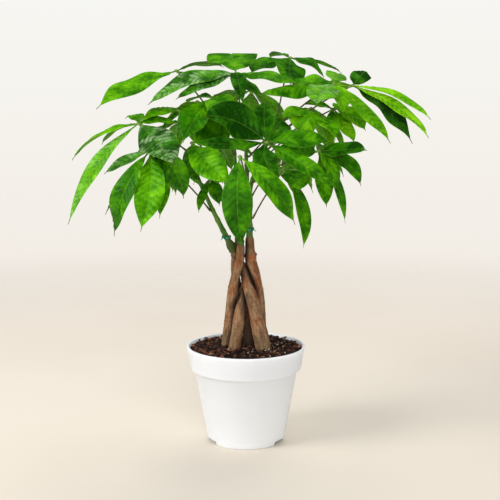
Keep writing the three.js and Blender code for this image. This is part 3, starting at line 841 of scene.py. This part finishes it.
def turn(rings, rng, tilt):
    """Turns rings about Z at random, after a tilt of up to that many radians about X and Y."""
    a, b, c = rng.uniform(-tilt, tilt), rng.uniform(-tilt, tilt), rng.uniform(0, 2 * math.pi)
    about_x = np.array([[1, 0, 0], [0, math.cos(a), -math.sin(a)], [0, math.sin(a), math.cos(a)]])
    about_y = np.array([[math.cos(b), 0, math.sin(b)], [0, 1, 0], [-math.sin(b), 0, math.cos(b)]])
    about_z = np.array([[math.cos(c), -math.sin(c), 0], [math.sin(c), math.cos(c), 0], [0, 0, 1]])
    return rings @ (about_z @ about_y @ about_x).T


def clear_of_trunks(x, y, margin):
    return all(math.hypot(x - rows[1][0], y - rows[1][1]) > rows[1][3] + margin for rows in TRUNKS)


def soil_cover():
    """Bark chips and a few pale grains, spread evenly over the mix and clear of the trunks."""
    rng = np.random.default_rng(CHIPS["seed"])
    chips = Shape()
    for k in range(CHIPS["count"]):
        share = (k + 0.5) / CHIPS["count"]
        r, bearing = CHIPS["reach"] * math.sqrt(share), k * GOLDEN_ANGLE + rng.uniform(-0.4, 0.4)
        x, y = r * math.cos(bearing), r * math.sin(bearing)
        length = rng.triangular(*CHIPS["length"])
        width, height = length * rng.uniform(0.35, 0.7), rng.uniform(1.1, 2.4)
        rings = turn(shard(rng, length, width, height), rng, 0.55)
        tone, lift = rng.beta(1.6, 3.2), rng.uniform(*CHIPS["lift"])
        if clear_of_trunks(x, y, 0.2 * length):
            chips.add(rings + [x, y, soil_top(r) + lift - CHIPS["sunk"]], tone=tone)
    stops = [
        (0.0, srgb(24, 14, 10)),
        (0.3, srgb(52, 30, 20)),
        (0.55, srgb(92, 52, 34)),
        (0.75, srgb(132, 84, 58)),
        (1.0, srgb(176, 134, 100)),
    ]
    chips.piece("bark_chips", chip_look("bark_chips", stops), "soil", crease=25)

    rng = np.random.default_rng(GRAINS["seed"])
    grains = Shape()
    for _ in range(GRAINS["count"]):
        r, bearing = GRAINS["reach"] * math.sqrt(rng.uniform(0.1, 1)), rng.normal(-0.1, 1.1)
        size = rng.uniform(*GRAINS["size"])
        x, y = r * math.cos(bearing), r * math.sin(bearing)
        rings = turn(shard(rng, size, size * 0.8, size * 0.7), rng, 1.5)
        if clear_of_trunks(x, y, 1):
            grains.add(rings + [x, y, soil_top(r) + GRAINS["lift"]], tone=rng.uniform(0.2, 1))
    pale = [(0.0, srgb(150, 120, 92)), (1.0, srgb(226, 212, 190))]
    grains.piece("pale_grains", chip_look("pale_grains", pale), "soil", crease=50)


# ------------------------ trunks and shoots


def rings_of_tube(rows, side, sides, step, relief):
    """Rings of a tube through the rows. relief gives each ring point's radius from the fraction along it,
    its bearing, its centre's height, the plain radius and the length so far. Also the grain: where each
    point would lie if the tube were straight."""
    rough, _ = spline(rows, np.linspace(0, 1, 60))
    count = int(length_of(rough)[-1] / step) + 1
    t = np.linspace(0, 1, count)
    centres, radius = spline(rows, t)
    angle = around(sides)
    far = length_of(centres)
    r = relief(t[:, None], angle[None], centres[:, 2:], radius[:, None], far[:, None])
    across, over = r * np.cos(angle), r * np.sin(angle)
    grain = np.stack([across, over, np.broadcast_to(far[:, None], across.shape)], -1) * MM
    return loft(centres, side, across, over), grain


def trunk(k, rows, look):
    rng = np.random.default_rng(40 + k)
    waves = [
        (n, rng.uniform(0.02, 0.09), rng.uniform(0, 6.3), rng.uniform(0.06, 0.2)) for n in range(5, 29, 2)
    ]
    scars = [
        (rng.uniform(130, 250), rng.uniform(0, 6.3), rng.uniform(0.25, 0.6)) for _ in range(BARK["scars"])
    ]

    def relief(t, angle, height, radius, far):
        lobes = BARK["lobes"] * np.sin(3 * angle + 9 * t + k)
        swelling = BARK["swelling"] * np.sin(17 * t + 2 * k)
        r = radius * (1 + lobes + swelling)
        for n, drift, phase, depth in waves:
            r = r - depth * 0.5 * (1 - np.abs(np.sin(0.5 * n * angle + drift * far + phase))) ** 3
        for where, bearing, rise in scars:
            crevice_shade = 1 + 0.6 * np.cos(angle - bearing)
            r = r + 0.6 * rise * crevice_shade * bell(height - where, BARK["scar_width"])
        if k == COLLAR["trunk"]:
            above = height - COLLAR["height"]
            r = r + COLLAR["rise"] * bell(above, COLLAR["reach"]) - 0.7 * bell(above + 0.6, 0.8)
            r = r + 1.6 * bell(above - 3, 2.2) * bell(np.cos(angle) - 1, 0.05)
        end = np.clip((t * far[-1] - far[-1] + BARK["rounded"]) / BARK["rounded"], 0, 1)
        return r * (1 - (1 - BARK["callus"]) * end**2) * np.where(t < 1, 1, 0.9)

    rings, grain = rings_of_tube(rows, np.array([1.0, 0, 0]), BARK["sides"], BARK["step"], relief)
    height = rings[..., 2]
    room = np.full(height.shape, 99.0)
    for other in TRUNKS:
        if other is rows:
            continue
        line, radius = spline(other, np.linspace(0, 1, 90))
        apart = np.linalg.norm(rings[:, :, None] - line, axis=-1) - radius
        room = np.minimum(room, apart.min(axis=2))
    ring = np.zeros_like(height)
    if k == COLLAR["trunk"]:
        ring = 0.75 * bell(height - COLLAR["height"], 3.2)
    shape = Shape()
    from_axis = np.hypot(rings[..., 0], rings[..., 1])
    # Painted shade mask: strongest near the braid's axis and low down, where the front trunks shade the ones
    # behind.
    inner = 0.95 * bell(from_axis, 13) * ease(205, 160, height)
    shape.add(rings, grain=grain + [0.1 * k, 0, 0], height=height, ring=ring, room=room, inner=inner)
    shape.piece(f"trunk_{k + 1}_bark", look, "bark", [f"trunk_{k + 1}"], 70)


def shoot(k, rows, look):
    rng = np.random.default_rng(60 + k)
    parts = [part for _, (from_shoot, part), _ in LEAVES if from_shoot == k]
    parts += list(rng.uniform(0.12, 0.6, SHOOT["buds"]))
    sunk = [tuple(np.array(rows[0]) - [0, 0, SHOOT["sunk"], 0])] + rows

    def relief(t, angle, height, radius, far):
        r = radius * (1 + 0.03 * np.sin(2 * angle + 5 * t + k) + 0.02 * np.sin(7 * angle + 3 * k))
        for part in parts:
            node, _ = spline(rows, np.array([part]))
            r = r + SHOOT["node_rise"] * bell(height - node[0, 2], SHOOT["node_width"])
        return r * np.where(t < 1, 1, 0.6)

    rings, grain = rings_of_tube(sunk, np.array([0, 1.0, 0]), SHOOT["sides"], SHOOT["step"], relief)
    shape = Shape()
    shape.add(rings, grain=grain + [0.1 * k, 0.5, 0], height=rings[..., 2])
    shape.piece(f"shoot_{k + 1}_bark", look, "shoot", [f"shoot_{k + 1}"], 70)


def ribbon(centres, side, width, thickness):
    """Rings of a flat band with rounded edges along a line; side is the direction of its thickness."""
    angle = around(14)
    flat = np.sign(np.cos(angle)) * np.abs(np.cos(angle)) ** 0.6
    high = np.sign(np.sin(angle)) * np.abs(np.sin(angle)) ** 0.6
    along = unit(np.gradient(centres, axis=0))
    out = unit(side - np.sum(along * side, -1, keepdims=True) * along)
    across = np.cross(along, out)
    return (
        centres[:, None]
        + 0.5 * thickness * flat[None, :, None] * out[:, None]
        + 0.5 * width * high[None, :, None] * across[:, None]
    )


def tie(name, centre, knot, look):
    """A strip of garden tie: one loose turn round the shoot, a small double knot and two short tails."""
    shape = Shape()
    turn_of = np.linspace(0, 2 * math.pi, 73) + math.radians(knot)
    radial = np.stack([np.cos(turn_of), np.sin(turn_of), 0 * turn_of], -1)
    sway = 0.5 * np.sin(2 * turn_of + 1)[:, None] * UP
    shape.add(ribbon(TIE["radius"] * radial + sway + centre, radial, TIE["width"], TIE["thickness"]))
    out = np.array([math.cos(math.radians(knot)), math.sin(math.radians(knot)), 0])
    side = np.array([-out[1], out[0], 0])
    heart = np.array(centre) + (TIE["radius"] + 1.5) * out
    loop = np.linspace(0.2, 2 * math.pi - 0.2, 25)
    for lean, size in ((0.9, 1.25), (-0.8, 1.05)):
        axis = unit(side + lean * UP)
        other = np.cross(axis, out)
        round_it = size * (np.cos(loop)[:, None] * out + np.sin(loop)[:, None] * other)
        shape.add(ribbon(heart + round_it, round_it, TIE["knot_width"], TIE["thickness"]))
    for way, drop in ((1, 2.4), (-1, 3.0)):
        t = np.linspace(0, 1, 14)
        end = heart + 4.2 * out + way * 3.2 * side - drop * UP
        middle = heart + 3.4 * out + way * 0.8 * side + 1.2 * UP
        tail = bezier(heart, middle, end, t)
        shape.add(ribbon(tail, np.broadcast_to(UP, tail.shape), TIE["knot_width"], 0.7))
    shape.piece(f"tie_{name}_strip", look, "tie", [f"tie_{name}"], 50)


# ------------------------ leaves


def outline(t):
    """Half of the blade's width at a fraction of its length, as a share of its greatest half width: full
    to well past the middle, then drawn out into a drip tip."""
    blade = np.clip((t - LEAF["stalk"]) / (1 - LEAF["stalk"]), 0, 1)
    body = np.sin(math.pi * np.clip(blade / LEAF["drip"], 0, 1) ** 1.1) ** 0.75
    drip = 0.2 * np.clip((1 - blade) / 0.16, 0, 1) ** 1.3
    return np.maximum(body, np.where(blade > 0.5, drip, 0)) + 0.006


def leaflet(shape, hub, row, tone, rng):
    """One blade: it arches from the hub to its tip, folds up from the midrib, swells between its side veins
    and waves at its margin."""
    tip, (width, arch, bow, lean, fold, *sheen) = np.array(row[:3], float), row[3:]
    chord = unit(tip - hub)
    over = UP + LEAF["outward"] * unit([tip[0], tip[1], 0])
    top = over + lean * FRONT
    over = unit(over - (over @ chord) * chord)
    middle = hub + LEAF["crest"] * (tip - hub) + 2 * arch * over + 2 * bow * np.cross(chord, over)
    reach = np.linalg.norm(tip - hub)
    t = np.linspace(0, 1, max(16, int(reach / LEAF["row_step"])))
    rib = bezier(hub, middle, tip, t)
    along = unit(np.gradient(rib, axis=0))
    normal = unit(top - (along @ top)[:, None] * along)
    side = np.cross(along, normal)
    twist = rng.normal(0, 0.07) * (t - 0.25)[:, None] * 2
    normal, side = unit(normal + twist * side), unit(side - twist * normal)

    u = np.linspace(-1, 1, LEAF["columns"] + 1)
    s = np.sign(u) * np.abs(u) ** 1.15
    half = np.maximum(0.5 * width * outline(t), 0.5 * LEAF["stalk_width"] * (1 - t))[:, None]
    fold = math.radians(fold)
    far = np.abs(s) * half
    in_blade = ease(0.04, 0.16, t)[:, None] * ease(1, 0.88, t)[:, None]
    vein = t[:, None] * reach / LEAF["vein_gap"] - 0.9 * (far / LEAF["vein_gap"]) ** 0.9 + rng.uniform()
    quilt = np.abs(np.sin(math.pi * vein)) ** 0.8 - 0.5
    quilt *= LEAF["quilt"] * in_blade * (np.sin(math.pi * np.abs(s) ** 0.8) ** 0.7)
    phase = rng.uniform(0, 2 * math.pi, 2)
    turns = rng.uniform(1.3, 2.4, 2)
    edge = np.where(s < 0, np.sin(2 * math.pi * turns[0] * t[:, None] + phase[0]), 0)
    edge += np.where(s >= 0, np.sin(2 * math.pi * turns[1] * t[:, None] + phase[1]), 0)
    groove = 0.45 * bell(far, 0.8) * in_blade
    rise = math.sin(fold) * far + quilt + 0.045 * width * np.abs(s) ** 2 * edge * in_blade - groove
    rise = rise - 0.03 * width * np.abs(s) ** 3 * in_blade
    drop = 2.2 * np.clip((t - 0.86) / 0.14, 0, 1) ** 2
    above = (
        rib[:, None]
        + (s * half * math.cos(fold))[..., None] * side[:, None]
        + rise[..., None] * normal[:, None]
        - drop[:, None, None] * UP
    )
    keel = LEAF["rib_depth"] * bell(far, 0.95) * (1 - 0.75 * t[:, None])
    depth = LEAF["thickness"] * (1 - 0.55 * np.abs(s) ** 4) + keel
    below = above - depth[..., None] * normal[:, None]
    rings = np.concatenate([above, below[:, ::-1]], 1)
    flat = np.zeros_like(far)

    def both(values):
        return np.concatenate([values, values[:, ::-1]], 1)

    shape.add(
        rings,
        tone=tone + rng.normal(0, 0.02),
        sheen=sheen[0] if sheen else 0,
        along=both(t[:, None] + flat),
        across=both(np.abs(s) + flat),
        rib=both(far),
        vein=both(vein + flat),
        top=np.concatenate([flat + 1, flat], 1),
    )


def petiole(shape, hub, start, rng):
    """The leaf's stalk, from a swollen foot on the shoot to the swollen hub of the leaflets."""
    k, part = start
    foot, radius = spline(SHOOTS[k], np.array([part]))
    foot = foot[0]
    outward = unit((hub - foot) * [1, 1, 0])
    foot = foot + (radius[0] + PETIOLE["flare"] * PETIOLE["radius"] + PETIOLE["gap"]) * outward
    middle = 0.5 * (foot + hub) + PETIOLE["rise"] * np.linalg.norm(hub - foot) * UP
    root = foot - (radius[0] + 1.2) * outward - 0.8 * UP
    t = np.linspace(0, 1, max(14, int(np.linalg.norm(hub - foot) / 3)))
    line = np.vstack([root, bezier(foot, middle, hub, t)])
    far = length_of(line)
    left = far[-1] - far
    r = PETIOLE["radius"] * (0.78 + 0.42 * ease(16, 4, far) + 0.35 * ease(7, 1.5, left))
    angle = around(PETIOLE["sides"])
    side = unit(np.cross(hub - foot, UP))
    ring = r[:, None] * (1 + 0.05 * np.sin(3 * angle + rng.uniform(0, 6)))
    tone = 0.25 + 0.6 * ease(18, 2, left) + 0.25 * ease(16, 0, far)
    shape.add(loft(line, side, ring * np.cos(angle), ring * np.sin(angle)), tone=tone[:, None] + 0 * ring)


def hub_knob(shape, hub):
    """The small swollen cushion where the leaflets meet."""
    level = np.linspace(-1, 1, 9)
    angle = around(18)
    r = HUB["radius"] * np.sqrt(np.clip(1 - level**2, 0.02, 1))[:, None] * (1 + 0.08 * np.sin(5 * angle))
    rise = HUB["half_height"] * level[:, None] + 0 * r
    ring = np.stack([r * np.cos(angle), r * np.sin(angle), rise], -1)
    shape.add(ring + hub, tone=0.95 + 0 * r)


def fan(hub, heading, count, reach, seed):
    """Leaflet rows for a leaf that spreads evenly round its heading, its longest leaflet in the middle."""
    state, rows = seed, []

    def draw():
        nonlocal state
        state = (state * 16807) % 2147483647
        return state / 2147483647

    for k in range(count):
        place = 2 * k / (count - 1) - 1
        bearing = math.radians(heading + 0.5 * FAN["spread"] * place + FAN["stray"] * (draw() - 0.5))
        length = reach * (1 + (FAN["shortest"] - 1) * abs(place) ** 1.5)
        low, high = FAN["droop"]
        droop = math.radians(low + (high - low) * draw() + FAN["sag"] * (1 - abs(place)))
        level = length * math.cos(droop)
        tip = hub + [level * math.cos(bearing), level * math.sin(bearing), -length * math.sin(droop)]
        rows.append((*tip, FAN["width"] * length, FAN["arch"] * length, 0, 0, FAN["fold"]))
    return rows


def leaflet_tone(number, place):
    """How bright a leaflet's green is, from its leaf's number and its place in the leaf, both from 1."""
    if (number, place) in DEEP_LEAFLETS:
        return DEEP_TONE
    return TONES[number - 1] + TONE_STRAY * math.sin(7 * place + number)


def leaf(number, hub, start, leaflets, blade_look, stem_look):
    rng = np.random.default_rng(100 + number)
    hub = np.array(hub, float)
    rows = leaflets if isinstance(leaflets, list) else fan(hub, *leaflets)
    blades, stem = Shape(), Shape()
    for place, row in enumerate(rows, 1):
        leaflet(blades, hub, row, leaflet_tone(number, place), rng)
    petiole(stem, hub, start, rng)
    hub_knob(stem, hub)
    blades.piece(f"leaf_{number:02d}_blades", blade_look, "leaf", [f"leaf_{number:02d}"], 80)
    stem.piece(f"leaf_{number:02d}_stalk", stem_look, "shoot", crease=70)


# ------------------------ the plant

pot()
soil()
soil_cover()
bark = bark_look()
for index, rows in enumerate(TRUNKS):
    trunk(index, rows, bark)
green_bark = shoot_look()
for index, rows in enumerate(SHOOTS):
    shoot(index, rows, green_bark)
strip = tie_look()
for name, (centre, knot) in TIES.items():
    tie(name, centre, knot, strip)
blade_look, stem_look = leaf_look(), stalk_look()
for index, (hub, start, leaflets) in enumerate(LEAVES):
    leaf(index + 1, hub, start, leaflets, blade_look, stem_look)

# ------------------------ stage, light and camera


def floor():
    """A round pale floor that fades out into the background."""
    angle = around(FLOOR["sides"])
    mesh = bpy.data.meshes.new("floor")
    edge = [(FLOOR["radius"] * math.cos(a), FLOOR["radius"] * math.sin(a), 0) for a in angle]
    mesh.from_pydata(edge, [], [list(range(FLOOR["sides"]))])
    piece = bpy.data.objects.new("floor", mesh)
    bpy.context.scene.collection.objects.link(piece)
    look = Look("floor", Roughness=0.8, Specular_IOR_Level=0.15)
    distance = look.add("VectorMath", {0: look.place()}, operation="LENGTH").outputs["Value"]
    look.feed(look.shader.inputs["Alpha"], look.fade(distance, FLOOR["clear_at"], FLOOR["solid_at"]))
    grain = look.noise(look.place(), 3, 2)
    look.finish(look.mix(look.fade(grain, 0.3, 0.7), srgb(222, 211, 194), srgb(225, 214, 198)))
    mesh.materials.append(look.material)


def world():
    """Soft even light, a dimmer surround in reflections, and a pale backdrop where the camera sees it."""
    made = bpy.data.worlds.new("studio")
    made.use_nodes = True
    bpy.context.scene.world = made
    tree = made.node_tree
    tree.nodes.clear()

    def add(kind, settings=(), **links):
        node = tree.nodes.new("ShaderNode" + kind)
        for name, value in settings:
            setattr(node, name, value)
        for key, value in links.items():
            socket = node.inputs[int(key[1:])]
            if isinstance(value, bpy.types.NodeSocket):
                tree.links.new(value, socket)
            else:
                socket.default_value = value
        return node.outputs

    path = add("LightPath")
    up = add("SeparateXYZ", _0=add("TexCoord")["Generated"])["Z"]
    share = add("MapRange", _0=up, _1=-0.3, _2=0.12)[0]
    colour = (("data_type", "RGBA"),)
    backdrop = add("Mix", colour, _0=share, _6=srgb(240, 231, 221), _7=srgb(247, 246, 242))[2]
    ambient = add("Background", _0=AMBIENT["colour"], _1=AMBIENT["diffuse"])[0]
    mirrored = add("Background", _0=(1, 1, 1, 1), _1=AMBIENT["glossy"])[0]
    seen = add("Background", _0=backdrop)[0]
    lighting = add("MixShader", _0=path["Is Glossy Ray"], _1=ambient, _2=mirrored)[0]
    add("OutputWorld", _0=add("MixShader", _0=path["Is Camera Ray"], _1=lighting, _2=seen)[0])


def lamp(name, place, target, size, power, glossy=True):
    light = bpy.data.lights.new(name, "AREA")
    light.shape, light.size, light.energy = "DISK", size, power
    piece = bpy.data.objects.new(name, light)
    piece.location = place
    piece.visible_glossy = glossy
    way = np.array(target, float) - np.array(place, float)
    piece.rotation_euler = (
        math.acos(-way[2] / np.linalg.norm(way)),
        0,
        math.atan2(way[1], way[0]) - math.pi / 2,
    )
    bpy.context.scene.collection.objects.link(piece)


def camera():
    """The photograph's viewpoint: 1.2 m in front, level with the crown, tipped a little down."""
    lens = bpy.data.cameras.new("camera")
    lens.sensor_width = CAMERA["sensor"]
    lens.lens = CAMERA["sensor"] * CAMERA["focal"] / CAMERA["picture"]
    piece = bpy.data.objects.new("camera", lens)
    piece.location = CAMERA["place"]
    piece.rotation_euler = (math.radians(90 - CAMERA["down"]), 0, 0)
    bpy.context.scene.collection.objects.link(piece)
    bpy.context.scene.camera = piece


floor()
world()
lamp("key", (-1.7, -0.8, 1.35), (0, 0, 0.25), 1.1, 29)
lamp("front", (0.3, -2.1, 0.9), (0, 0, 0.25), 1.4, 21)
lamp("rim", (0.3, 1.2, 2.0), (0, 0, 0.35), 1.6, 25, glossy=False)
camera()
bpy.context.scene.view_settings.view_transform = "Standard"
